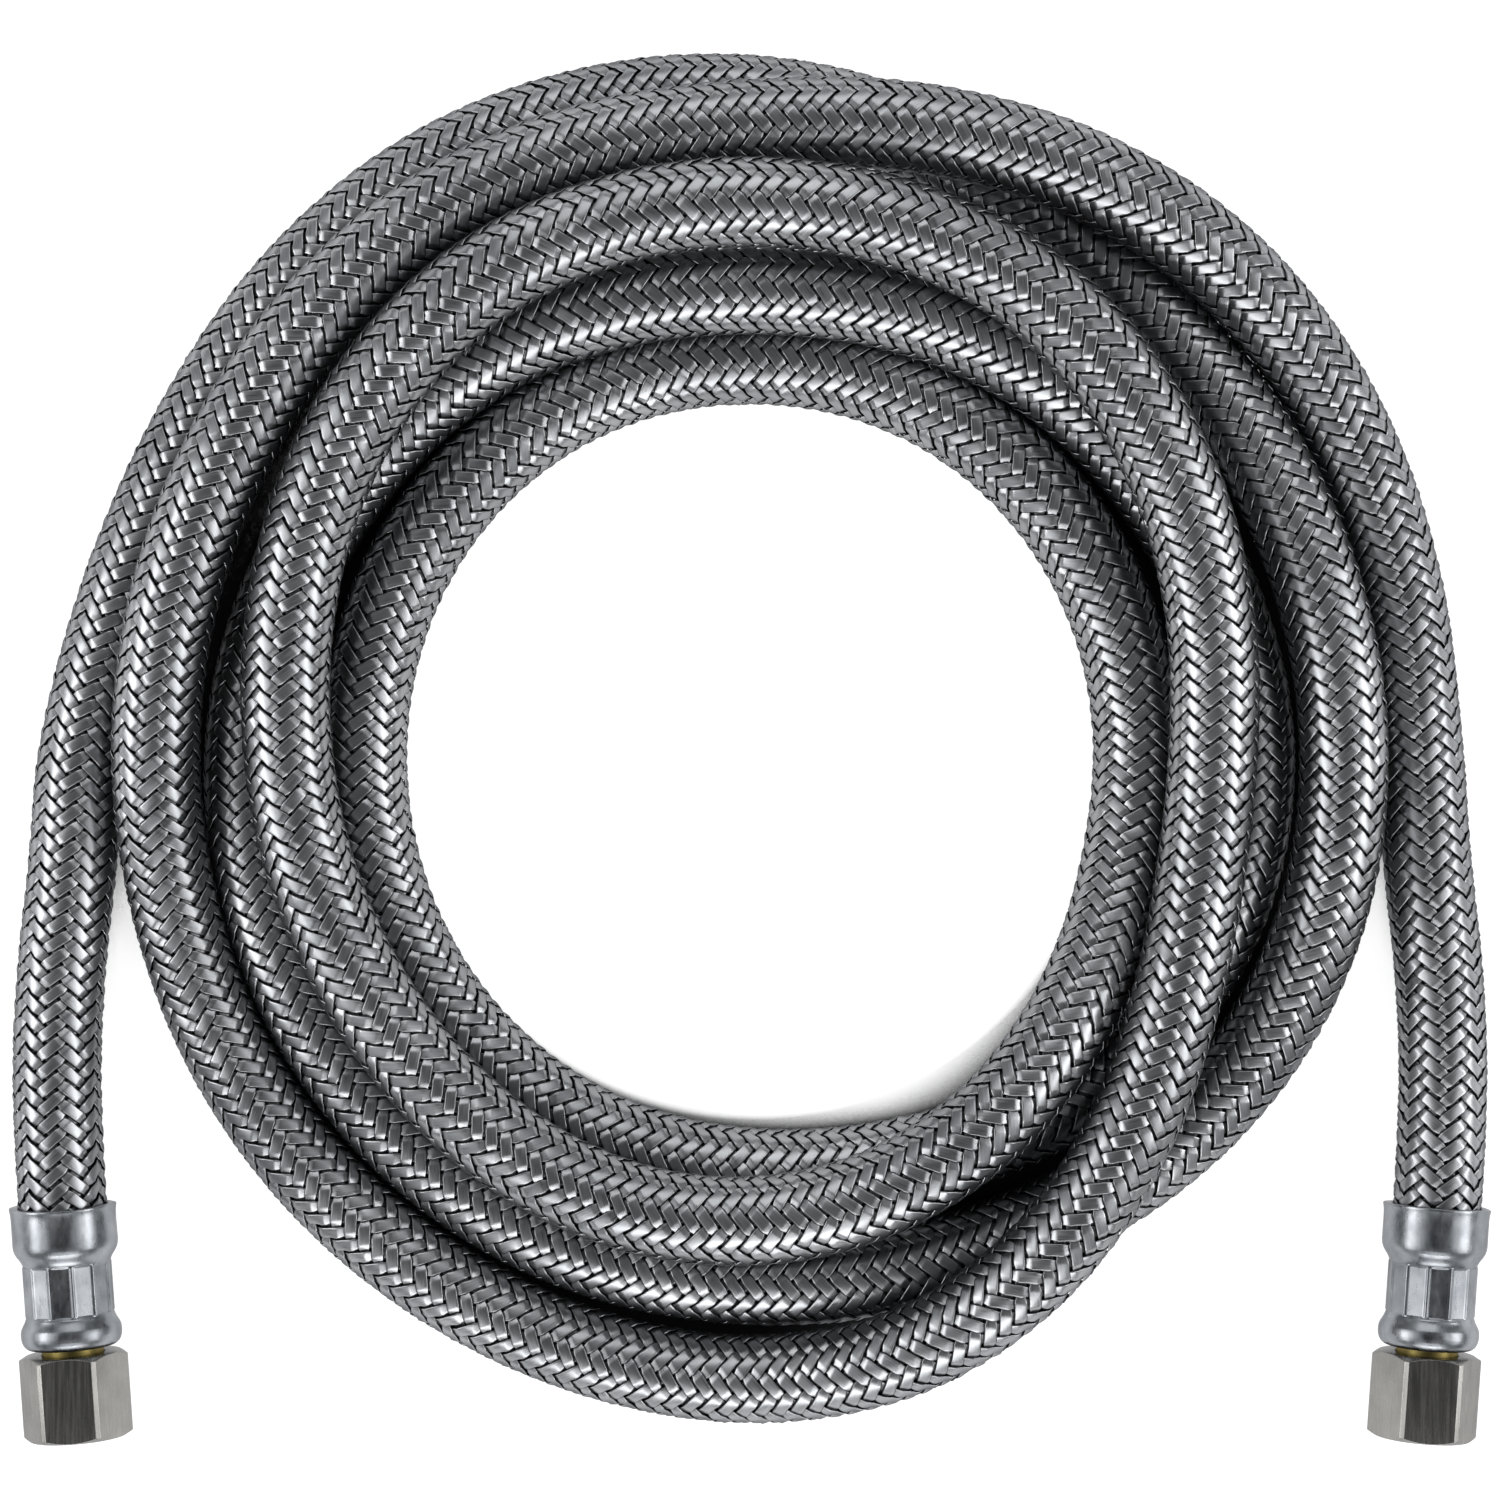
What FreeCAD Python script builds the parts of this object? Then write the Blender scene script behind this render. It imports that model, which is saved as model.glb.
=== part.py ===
import FreeCAD, Part
import math
import os

# A braided water supply line, wound in an oval coil of four and a half turns that lies flat, with a
# crimped ferrule and a hex coupling nut on each end. Millimetres, +Z up, X across the coil, and +Y
# away from the two nuts. The origin is the middle of the coil on the surface it lies on.

# ---- hose ----
HOSE_R = 5.8                # outside of the wire braid
LINER_R = 5.2               # outside of the rubber tube, and inside of the braid
LINER_BORE_R = 3.2

# ---- crimp ferrule, measured along the fitting from its hose end ----
FERRULE_LEN = 18.6
COLLAR_R = 6.87
COLLAR_LEN = 6.0
LIP_FLARE = 0.12
LIP_LEN = 0.9
EDGE_BREAK = 0.2            # takes the sharpness off the lip and the foot of the bead
COLLAR_EDGE_LEN = 0.5       # the rounding-over where the collar ends
COLLAR_EDGE_DROP = 0.3
SHOULDER_LEN = 1.4          # the cone from the collar down to the crimped waist
WAIST_APOTHEM = 5.55
WAIST_FACETS = 12
BEAD_R = 6.55
BEAD_LEN = 3.8
BEAD_ROUND = 0.9
COLLAR_BORE_R = 5.85
WAIST_BORE_R = 4.9
END_WALL = 2.0
HOSE_STOP = 16.0            # how far the hose reaches into the ferrule
HOSE_INLET = 1.0            # where the free hose turns into its squeezed end
CRIMPED_LINER_R = 4.35

# ---- brass insert ----
INSERT_BORE_R = 2.0
SHANK_START = 2.0
SHANK_R = 2.75
BARB_R = 3.15
BARBS = 5
BARB_PITCH = 2.4
BARB_SLOPE_LEN = 1.7
NECK_R = 4.05
HEAD_R = 4.85
HEAD_LEN = 1.2
NOSE_R = 3.2
NOSE_LEN = 1.9

# ---- rubber cone seal and slip washer ----
SEAL_BASE_R = 4.6
SEAL_TIP_R = 3.9
WASHER_LEN = 0.55
WASHER_R = 4.8
WASHER_PLAY = 0.07          # round the neck
END_PLAY = 0.05             # along it, on each side of the washer

# ---- hex coupling nut ----
NUT_GAP = 0.85              # neck that shows between ferrule and nut
NUT_LEN = 11.1
NUT_FLATS = 12.7
NUT_BEVEL = 0.7             # width of the bevel along each of the hexagon's edges
NUT_BLANK_SPARE = 0.5       # how far the round blank stands off the hexagon's corners
NUT_WALL = 2.2
NUT_PLAY = 0.09             # round the neck
NUT_CHAMBER_R = 5.3
NUT_CHAMBER_END = 6.2       # from the nut's back face
THREAD_R = 5.08
MOUTH_CHAMFER = 0.4
CHAMFER_FACE_R = 6.25       # the cone that takes the corners off both ends of the hexagon
CHAMFER_ANGLE = 30.0

# ---- where the two ends lie ----
FITTING_HEIGHT = 7.4        # lets the nut's corners turn clear of the surface
FITTING_MOUTH = (-90.3, -60.0)   # middle of the ferrule's hose end, end A
FITTING_LEAN = 4.0          # degrees that the fittings lean towards each other

# Straight tail of end A, from just inside the ferrule to the coil. End B is its mirror image.
TAIL_RUN = 15.0
TAIL_POINTS = [
    (-90.8, -29.5, 6.4),
    (-89.0, -14.5, 6.4),
]

# ---- coil ----
# Each pass goes once round, clockwise from above, as (clock angle in degrees from +Y, distance of the
# hose's centreline from the middle, its height). Passes one to three wind inwards on the surface, and
# passes four and five come back out on top of them.
CLOCK_STEP = 15.0
PASSES = [
    [
        (-105, 91.8, 6.1), (-90, 87.5, 5.9), (-75, 84.5, 5.8), (-60, 84.0, 5.8), (-30, 86.9, 5.8),
        (0, 85.7, 5.8), (15, 83.6, 5.8), (30, 80.4, 5.8), (45, 77.8, 6.3), (60, 77.0, 9.3),
        (75, 76.9, 12.0), (90, 77.2, 13.2), (105, 77.9, 11.0), (120, 77.7, 7.2), (135, 75.8, 5.8),
        (150, 73.0, 5.8), (165, 71.1, 5.8),
    ],
    [
        (-180, 70.0, 5.8), (-150, 69.2, 5.8), (-120, 67.7, 5.8), (-90, 66.1, 5.8),
        (-75, 64.9, 5.8), (-60, 63.6, 6.0), (-45, 62.7, 7.8), (-30, 61.6, 11.0), (-15, 60.1, 13.2),
        (0, 59.3, 14.0), (15, 60.1, 13.2), (30, 61.6, 11.0), (45, 62.7, 7.8), (60, 63.6, 6.0),
        (75, 64.9, 5.8), (90, 66.1, 5.8), (105, 66.2, 5.8), (120, 65.2, 5.8), (135, 62.8, 5.8),
        (150, 59.6, 5.8), (165, 57.1, 5.8),
    ],
    [
        (-180, 55.7, 5.8), (-150, 54.1, 5.8), (-120, 52.1, 5.8), (-90, 50.9, 5.8),
        (-60, 51.0, 5.8), (-30, 51.3, 5.8), (0, 51.1, 5.8), (30, 51.3, 5.8), (60, 51.0, 5.8),
        (90, 50.9, 6.0), (105, 51.1, 7.8), (120, 52.7, 11.8), (135, 55.1, 15.8), (150, 57.7, 17.6),
        (165, 60.0, 17.2),
    ],
    [
        (-180, 61.2, 16.0), (-165, 61.4, 15.4), (-150, 60.5, 15.3), (-120, 58.7, 15.3),
        (-90, 59.6, 16.4), (-75, 61.5, 17.3), (-60, 64.3, 18.3), (-45, 67.0, 20.2),
        (-30, 69.2, 21.9), (0, 69.8, 23.2), (30, 69.4, 20.6), (45, 67.1, 19.4), (60, 64.3, 18.3),
        (75, 61.5, 17.3), (90, 59.6, 16.4), (105, 60.0, 16.4), (120, 63.3, 17.6),
        (135, 69.5, 17.6), (150, 76.3, 17.4), (165, 81.5, 12.5),
    ],
    [
        (-180, 83.0, 7.2), (-165, 82.2, 5.8), (-150, 81.1, 5.8), (-120, 79.4, 5.9),
        (-105, 78.1, 8.2), (-90, 77.2, 13.2), (-75, 76.9, 15.9), (-60, 77.4, 16.6),
        (-30, 80.3, 16.6), (0, 80.3, 17.0), (15, 82.8, 18.0), (30, 86.0, 16.8), (45, 88.5, 12.2),
        (60, 89.0, 7.4), (75, 88.0, 6.0), (90, 87.5, 5.9), (105, 91.8, 6.1),
    ],
]
# The outermost pass lies outside the others only between the two tails, and is the coil's arch.
ARCH_END = 90.0
ARCH_INNER_R = 76.0
ARCH_HEIGHT = 12.0
SECTION_SIDES = 16          # of the outline round the strands that makes the coil's plain solid

X_AXIS = FreeCAD.Vector(1, 0, 0)
Z_AXIS = FreeCAD.Vector(0, 0, 1)


# ---- small helpers ----
def save(shape, node):
    """Writes one node's solid to its own STEP file."""
    solid = shape.Solids[0] if len(shape.Solids) == 1 else shape
    solid.exportStep("parts/" + node + ".step")
    box = solid.BoundBox
    print(
        "%-16s valid %s solids %d volume %9.1f  x %7.2f %7.2f  y %7.2f %7.2f  z %6.2f %6.2f"
        % (
            node,
            solid.isValid(),
            len(solid.Solids),
            solid.Volume,
            box.XMin,
            box.XMax,
            box.YMin,
            box.YMax,
            box.ZMin,
            box.ZMax,
        )
    )


def turned(outline):
    """A solid of revolution about the fitting's axis, from points (along, radius)."""
    points = [FreeCAD.Vector(x, 0, r) for x, r in outline]
    wire = Part.makePolygon(points + [points[0]])
    return Part.Face(wire).revolve(FreeCAD.Vector(0, 0, 0), X_AXIS, 360)


def prism(sides, apothem, start, length):
    """A prism along the fitting's axis, with one of its flats facing straight up."""
    corner_r = apothem / math.cos(math.pi / sides)
    points = []
    for i in range(sides + 1):
        angle = 2 * math.pi * (i + 0.5) / sides
        points.append(FreeCAD.Vector(start, corner_r * math.sin(angle), corner_r * math.cos(angle)))
    return Part.Face(Part.makePolygon(points)).extrude(FreeCAD.Vector(length, 0, 0))


def lean(side):
    """The direction from ferrule to nut at one end: side is -1 for end A and 1 for end B."""
    angle = math.radians(FITTING_LEAN)
    return FreeCAD.Vector(-side * math.sin(angle), -math.cos(angle), 0)


def mouth(side):
    """The middle of the ferrule's hose end."""
    return FreeCAD.Vector(-side * FITTING_MOUTH[0], FITTING_MOUTH[1], FITTING_HEIGHT)


def placed(shape, side):
    """Moves a piece made along +X from the origin to its place on one end."""
    copy = shape.copy()
    heading = -90.0 - side * FITTING_LEAN
    copy.Placement = FreeCAD.Placement(mouth(side), FreeCAD.Rotation(Z_AXIS, heading))
    return copy


# ---- fitting pieces, along +X from the ferrule's hose end ----
def ferrule():
    shoulder_end = COLLAR_LEN + SHOULDER_LEN
    bead_start = FERRULE_LEN - BEAD_LEN
    waist_corner = WAIST_APOTHEM / math.cos(math.pi / WAIST_FACETS)
    step = BEAD_ROUND * (1 - math.sqrt(0.5))
    outside = turned([
        (0, 0),
        (0, COLLAR_R + LIP_FLARE - EDGE_BREAK),
        (EDGE_BREAK, COLLAR_R + LIP_FLARE),
        (LIP_LEN, COLLAR_R),
        (COLLAR_LEN - COLLAR_EDGE_LEN, COLLAR_R),
        (COLLAR_LEN, COLLAR_R - COLLAR_EDGE_DROP),
        (shoulder_end, waist_corner),
        (bead_start - EDGE_BREAK, waist_corner),
        (bead_start, BEAD_R - BEAD_ROUND),
        (bead_start + step, BEAD_R - step),
        (bead_start + BEAD_ROUND, BEAD_R),
        (FERRULE_LEN - BEAD_ROUND, BEAD_R),
        (FERRULE_LEN - step, BEAD_R - step),
        (FERRULE_LEN, BEAD_R - BEAD_ROUND),
        (FERRULE_LEN, 0),
    ])
    waist_len = bead_start - shoulder_end
    blank = turned([
        (shoulder_end, 0),
        (shoulder_end, COLLAR_R),
        (bead_start, COLLAR_R),
        (bead_start, 0),
    ])
    facets = blank.cut(prism(WAIST_FACETS, WAIST_APOTHEM, shoulder_end, waist_len))
    bore = turned([
        (0, 0),
        (0, COLLAR_BORE_R),
        (COLLAR_LEN, COLLAR_BORE_R),
        (shoulder_end, WAIST_BORE_R),
        (FERRULE_LEN - END_WALL, WAIST_BORE_R),
        (FERRULE_LEN - END_WALL, NECK_R),
        (FERRULE_LEN, NECK_R),
        (FERRULE_LEN, 0),
    ])
    return outside.cut(facets).cut(bore)


def squeezed_end(inner_free, outer_free, inner_crimped, outer_crimped):
    """One layer of the hose where the ferrule clamps it."""
    shoulder_end = COLLAR_LEN + SHOULDER_LEN
    return turned([
        (HOSE_INLET, inner_free),
        (HOSE_INLET, outer_free),
        (COLLAR_LEN, outer_free),
        (shoulder_end, outer_crimped),
        (HOSE_STOP, outer_crimped),
        (HOSE_STOP, inner_crimped),
        (shoulder_end, inner_crimped),
        (COLLAR_LEN, inner_free),
    ])


def head_start():
    """Where the insert's head begins: past the ferrule, the nut's wall and the washer."""
    return FERRULE_LEN + NUT_GAP + NUT_WALL + WASHER_LEN + 2 * END_PLAY


def insert():
    head = head_start()
    nose = head + HEAD_LEN
    outline = [(SHANK_START, INSERT_BORE_R), (SHANK_START, SHANK_R)]
    for i in range(BARBS):
        crest = SHANK_START + (i + 1) * BARB_PITCH
        outline += [(crest - BARB_SLOPE_LEN, SHANK_R), (crest, BARB_R), (crest, SHANK_R)]
    outline += [
        (FERRULE_LEN - END_WALL, SHANK_R),
        (FERRULE_LEN - END_WALL, NECK_R),
        (head, NECK_R),
        (head, HEAD_R),
        (nose, HEAD_R),
        (nose, NOSE_R),
        (nose + NOSE_LEN, NOSE_R),
        (nose + NOSE_LEN, INSERT_BORE_R),
    ]
    return turned(outline)


def seal():
    base = head_start() + HEAD_LEN
    return turned([
        (base, NOSE_R),
        (base, SEAL_BASE_R),
        (base + NOSE_LEN, SEAL_TIP_R),
        (base + NOSE_LEN, NOSE_R),
    ])


def washer():
    start = head_start() - END_PLAY - WASHER_LEN
    return turned([
        (start, NECK_R + WASHER_PLAY),
        (start, WASHER_R),
        (start + WASHER_LEN, WASHER_R),
        (start + WASHER_LEN, NECK_R + WASHER_PLAY),
    ])


def nut():
    back = FERRULE_LEN + NUT_GAP
    front = back + NUT_LEN
    blank_r = NUT_FLATS / 2 / math.cos(math.pi / 6) + NUT_BLANK_SPARE
    chamfer = (blank_r - CHAMFER_FACE_R) * math.tan(math.radians(CHAMFER_ANGLE))
    edge_apothem = NUT_FLATS / 2 / math.cos(math.pi / 6) - NUT_BEVEL / 2 * math.tan(math.pi / 6)
    rounded = turned([
        (back, 0),
        (back, CHAMFER_FACE_R),
        (back + chamfer, blank_r),
        (front - chamfer, blank_r),
        (front, CHAMFER_FACE_R),
        (front, 0),
    ])
    bore = turned([
        (back, 0),
        (back, NECK_R + NUT_PLAY),
        (back + NUT_WALL, NECK_R + NUT_PLAY),
        (back + NUT_WALL, NUT_CHAMBER_R),
        (back + NUT_CHAMBER_END, NUT_CHAMBER_R),
        (back + NUT_CHAMBER_END, THREAD_R),
        (front - MOUTH_CHAMFER, THREAD_R),
        (front, THREAD_R + MOUTH_CHAMFER),
        (front, 0),
    ])
    hexagon = prism(6, NUT_FLATS / 2, back, NUT_LEN).common(prism(12, edge_apothem, back, NUT_LEN))
    return hexagon.common(rounded).cut(bore)


# ---- straight tails ----
def tail_route(side):
    """The tail's points, from just inside the ferrule to the coil."""
    start = mouth(side) + lean(side) * HOSE_INLET
    along = mouth(side) - lean(side) * (TAIL_RUN - HOSE_INLET)
    rest = [FreeCAD.Vector(-side * x, y, z) for x, y, z in TAIL_POINTS]
    return [start, along] + rest


def rounded_path(points):
    """Straight runs joined by tangent arcs, each as large as its two runs allow."""
    edges = []
    here = points[0]
    radii = []
    for before, corner, after in zip(points, points[1:], points[2:]):
        back = (before - corner).normalize()
        ahead = (after - corner).normalize()
        half_turn = (math.pi - back.getAngle(ahead)) / 2
        cut = 0.45 * min(before.distanceToPoint(corner), corner.distanceToPoint(after))
        radius = cut / math.tan(half_turn)
        radii.append(round(radius, 1))
        start = corner + back * cut
        end = corner + ahead * cut
        inward = (back + ahead).normalize()
        middle = corner + inward * (radius / math.cos(half_turn) - radius)
        edges += [Part.LineSegment(here, start).toShape(), Part.Arc(start, middle, end).toShape()]
        here = end
    edges.append(Part.LineSegment(here, points[-1]).toShape())
    return Part.Wire(edges), radii


def rod_along(path, points, radius):
    """A round rod swept along a path."""
    ahead = (points[1] - points[0]).normalize()
    ring = Part.Wire(Part.makeCircle(radius, points[0], ahead))
    return path.makePipeShell([ring], True, False)


def tail(side, inner, outer):
    """One layer of the hose's straight tail, as a tube."""
    points = tail_route(side)
    path, radii = rounded_path(points)
    tube = rod_along(path, points, outer).cut(rod_along(path, points, inner))
    expected = math.pi * (outer ** 2 - inner ** 2) * path.Length
    print("tail radii %s, length %.1f, volume %.1f of %.1f" % (radii, path.Length, tube.Volume, expected))
    return tube


# ---- coil ----
def eased(before, start, end, after, angle, item):
    """A smooth value between two places of a pass, from the two beside them as well."""
    width = end[0] - start[0]
    t = (angle - start[0]) / width
    leaving = (end[item] - before[item]) / (end[0] - before[0]) * width
    arriving = (after[item] - start[item]) / (after[0] - start[0]) * width
    return (
        (2 * t ** 3 - 3 * t ** 2 + 1) * start[item]
        + (t ** 3 - 2 * t ** 2 + t) * leaving
        + (3 * t ** 2 - 2 * t ** 3) * end[item]
        + (t ** 3 - t ** 2) * arriving
    )


def strand(turn, angle):
    """Distance from the middle and height of one pass at a clock angle."""
    places = []
    for number, rows in enumerate(PASSES):
        places += [(360.0 * (number - turn) + row[0], row[1], row[2]) for row in rows]
    i = max(k for k in range(len(places) - 1) if places[k][0] <= angle)
    around = [places[max(i - 1, 0)], places[i], places[i + 1], places[min(i + 2, len(places) - 1)]]
    return eased(*around, angle, 1), max(eased(*around, angle, 2), HOSE_R)


def coil_route():
    """Control points of the coil's turns for a quadratic spline, end A to end B."""
    outward = 1 / math.cos(math.radians(CLOCK_STEP / 2))
    points = []
    angle = -ARCH_END
    while angle <= 360.0 * (len(PASSES) - 1) + ARCH_END:
        distance, height = strand(0, angle)
        clock = math.radians(angle)
        spread = distance * outward
        points.append(FreeCAD.Vector(spread * math.sin(clock), spread * math.cos(clock), height))
        angle += CLOCK_STEP
    return points


def stack(angle):
    """The strands at one clock angle that make the coil's ring, without the arch outside them."""
    arch = 0 if angle < 0 else len(PASSES) - 1
    return sorted(strand(turn, angle) for turn in range(len(PASSES)) if turn != arch)


def arch_rim(angle):
    """Distance of the coil's outer edge from the middle, between the two tails."""
    return max(strand(0, angle)[0], strand(len(PASSES) - 1, angle)[0]) + HOSE_R


def section(angle):
    """The outline round the strands at one clock angle, as a closed wire in the upright plane there."""
    strands = stack(angle)
    clock = math.radians(angle)
    reach = HOSE_R / math.cos(math.pi / SECTION_SIDES)
    points = []
    for i in range(SECTION_SIDES):
        tilt = 2 * math.pi * (i + 0.5) / SECTION_SIDES
        out = math.cos(tilt)
        up = math.sin(tilt)
        distance, height = max(strands, key=lambda place: place[0] * out + place[1] * up)
        edge = distance + reach * out
        points.append(FreeCAD.Vector(edge * math.sin(clock), edge * math.cos(clock), height + reach * up))
    return Part.makePolygon(points + [points[0]])


def half_ring(first, last):
    angles = []
    angle = first
    while angle <= last:
        angles.append(angle)
        angle += CLOCK_STEP
    return Part.makeLoft([section(a) for a in angles], True, True)


def arch_end(side):
    """The two corners of the flat face that a tail meets: outer, then inner."""
    points = tail_route(side)
    ahead = (points[-1] - points[-2]).normalize()
    across = FreeCAD.Vector(ahead.y, -ahead.x, 0).normalize() * side
    middle = FreeCAD.Vector(points[-1].x, points[-1].y, 0)
    return middle + across * HOSE_R, middle - across * HOSE_R


def arch():
    """The outermost pass over the top half of the coil, between the two tails."""
    outer_left, inner_left = arch_end(-1)
    outer_right, inner_right = arch_end(1)
    rim = [outer_left]
    angle = -ARCH_END
    while angle <= ARCH_END:
        clock = math.radians(angle)
        edge = arch_rim(angle)
        rim.append(FreeCAD.Vector(edge * math.sin(clock), edge * math.cos(clock), 0))
        angle += CLOCK_STEP
    rim.append(outer_right)
    curve = Part.BSplineCurve()
    curve.interpolate(rim)
    left_knee = FreeCAD.Vector(-ARCH_INNER_R, 0, 0)
    right_knee = FreeCAD.Vector(ARCH_INNER_R, 0, 0)
    crown = FreeCAD.Vector(0, ARCH_INNER_R, 0)
    edges = [
        curve.toShape(),
        Part.LineSegment(outer_right, inner_right).toShape(),
        Part.LineSegment(inner_right, right_knee).toShape(),
        Part.Arc(right_knee, crown, left_knee).toShape(),
        Part.LineSegment(left_knee, inner_left).toShape(),
        Part.LineSegment(inner_left, outer_left).toShape(),
    ]
    return Part.Face(Part.Wire(edges)).extrude(Z_AXIS * ARCH_HEIGHT)


def coil():
    ring = half_ring(-180.0, 0.0).fuse(half_ring(0.0, 180.0))
    return ring.fuse(arch()).removeSplitter()


# ---- build ----
os.makedirs("parts", exist_ok=True)
ENDS = {"a": -1, "b": 1}
PIECES = {
    "ferrule": ferrule(),
    "insert": insert(),
    "seal": seal(),
    "washer": washer(),
    "nut": nut(),
    "braid_end": squeezed_end(LINER_R, HOSE_R, CRIMPED_LINER_R, WAIST_BORE_R),
    "liner_end": squeezed_end(LINER_BORE_R, LINER_R, LINER_BORE_R, CRIMPED_LINER_R),
}
for end, side in ENDS.items():
    for name, piece in PIECES.items():
        save(placed(piece, side), name + "_" + end)
    save(tail(side, LINER_R, HOSE_R), "braid_tail_" + end)
    save(tail(side, LINER_BORE_R, LINER_R), "liner_tail_" + end)
save(coil(), "hose_coil")
print("coil control points", len(coil_route()))
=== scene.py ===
import math

import bpy
import numpy as np
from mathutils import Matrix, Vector


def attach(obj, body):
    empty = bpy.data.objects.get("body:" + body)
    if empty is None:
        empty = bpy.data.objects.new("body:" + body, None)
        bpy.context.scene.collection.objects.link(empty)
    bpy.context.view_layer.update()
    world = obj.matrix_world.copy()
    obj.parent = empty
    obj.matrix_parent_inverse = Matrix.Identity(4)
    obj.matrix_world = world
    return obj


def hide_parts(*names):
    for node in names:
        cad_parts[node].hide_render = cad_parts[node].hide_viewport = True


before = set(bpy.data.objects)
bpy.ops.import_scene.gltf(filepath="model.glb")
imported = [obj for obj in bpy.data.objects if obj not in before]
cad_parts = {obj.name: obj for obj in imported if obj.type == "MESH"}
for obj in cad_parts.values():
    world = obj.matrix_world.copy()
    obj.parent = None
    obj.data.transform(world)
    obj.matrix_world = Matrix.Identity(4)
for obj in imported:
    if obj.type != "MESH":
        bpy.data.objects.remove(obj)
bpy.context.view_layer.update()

# A braided water supply line. Lengths are written in millimetres and times MM is metres.
MM = 0.001

# ---- the hose's route, as in the part's source ----
HOSE_R = 5.8
FITTING_HEIGHT = 7.4
FITTING_MOUTH = (-90.3, -60.0)
FITTING_LEAN = 4.0
HOSE_INLET = 1.0
TAIL_RUN = 15.0
TAIL_POINTS = [
    (-90.8, -29.5, 6.4),
    (-89.0, -14.5, 6.4),
]
CLOCK_STEP = 15.0
ARCH_END = 90.0
PASSES = [
    [
        (-105, 91.8, 6.1), (-90, 87.5, 5.9), (-75, 84.5, 5.8), (-60, 84.0, 5.8), (-30, 86.9, 5.8),
        (0, 85.7, 5.8), (15, 83.6, 5.8), (30, 80.4, 5.8), (45, 77.8, 6.3), (60, 77.0, 9.3),
        (75, 76.9, 12.0), (90, 77.2, 13.2), (105, 77.9, 11.0), (120, 77.7, 7.2), (135, 75.8, 5.8),
        (150, 73.0, 5.8), (165, 71.1, 5.8),
    ],
    [
        (-180, 70.0, 5.8), (-150, 69.2, 5.8), (-120, 67.7, 5.8), (-90, 66.1, 5.8),
        (-75, 64.9, 5.8), (-60, 63.6, 6.0), (-45, 62.7, 7.8), (-30, 61.6, 11.0), (-15, 60.1, 13.2),
        (0, 59.3, 14.0), (15, 60.1, 13.2), (30, 61.6, 11.0), (45, 62.7, 7.8), (60, 63.6, 6.0),
        (75, 64.9, 5.8), (90, 66.1, 5.8), (105, 66.2, 5.8), (120, 65.2, 5.8), (135, 62.8, 5.8),
        (150, 59.6, 5.8), (165, 57.1, 5.8),
    ],
    [
        (-180, 55.7, 5.8), (-150, 54.1, 5.8), (-120, 52.1, 5.8), (-90, 50.9, 5.8),
        (-60, 51.0, 5.8), (-30, 51.3, 5.8), (0, 51.1, 5.8), (30, 51.3, 5.8), (60, 51.0, 5.8),
        (90, 50.9, 6.0), (105, 51.1, 7.8), (120, 52.7, 11.8), (135, 55.1, 15.8), (150, 57.7, 17.6),
        (165, 60.0, 17.2),
    ],
    [
        (-180, 61.2, 16.0), (-165, 61.4, 15.4), (-150, 60.5, 15.3), (-120, 58.7, 15.3),
        (-90, 59.6, 16.4), (-75, 61.5, 17.3), (-60, 64.3, 18.3), (-45, 67.0, 20.2),
        (-30, 69.2, 21.9), (0, 69.8, 23.2), (30, 69.4, 20.6), (45, 67.1, 19.4), (60, 64.3, 18.3),
        (75, 61.5, 17.3), (90, 59.6, 16.4), (105, 60.0, 16.4), (120, 63.3, 17.6),
        (135, 69.5, 17.6), (150, 76.3, 17.4), (165, 81.5, 12.5),
    ],
    [
        (-180, 83.0, 7.2), (-165, 82.2, 5.8), (-150, 81.1, 5.8), (-120, 79.4, 5.9),
        (-105, 78.1, 8.2), (-90, 77.2, 13.2), (-75, 76.9, 15.9), (-60, 77.4, 16.6),
        (-30, 80.3, 16.6), (0, 80.3, 17.0), (15, 82.8, 18.0), (30, 86.0, 16.8), (45, 88.5, 12.2),
        (60, 89.0, 7.4), (75, 88.0, 6.0), (90, 87.5, 5.9), (105, 91.8, 6.1),
    ],
]
LINE_RESOLUTION = 16        # points read from the spline between two control points
NO_TURN = 1e-18             # square of a change of direction that is too small to count

# ---- braid: two families of twelve ribbons, each over two and under two of the other ----
RIBBONS = 12
RIBBONS_IN_PIECE = 2
BRAID_PITCH = 28.2          # length of hose in which a ribbon goes once round it
ZONE_CENTRE = 0.5           # of the over zone, counted in crossings
WEAVE_R = 5.46              # from the hose's middle to the middle of the weave
WEAVE_LIFT = 0.21           # out or in from there
WEAVE_SHARPNESS = 0.06
WEAVE_HUMPS = 0.45          # how much a ribbon rises over each ribbon under it
WEAVE_ROWS = (-0.5, -0.25, 0.0, 0.5, 1.0, 1.25, 1.5, 2.0, 3.0)   # mesh rows in every four crossings
RIBBON_WIDTH = 1.63
TAIL_RIBBON_WIDTH = 1.56
RIBBON_PINCH = 0.20         # how much narrower a ribbon is where it dives under
TAIL_LEN = 60.0
RIBBON_HALF_THICK = 0.06
WIRES = 5
WIRE_RIDGE = 0.03
RIBBON_CROWN = 0.015
RIBBON_ROLL = 0.07          # radians, how unevenly the ribbons lie on one another
RIBBON_REACH = 3.0          # how far the ribbons run on into the ferrules
WIDTH_WANDER = ((14.0, 33.0), 0.08)             # wavelengths along the hose, and size
DRIFT_WANDER = ((11.0, 27.0, 63.0), 0.07 * MM)
RISE_WANDER = ((17.0, 41.0), 0.02)
STREAK_SHIFT = 3.7          # gives each ribbon streaks of its own
LINER_R = 5.1
LINER_BORE_R = 3.2
LINER_RINGS = 1400
LINER_SIDES = 24

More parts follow.
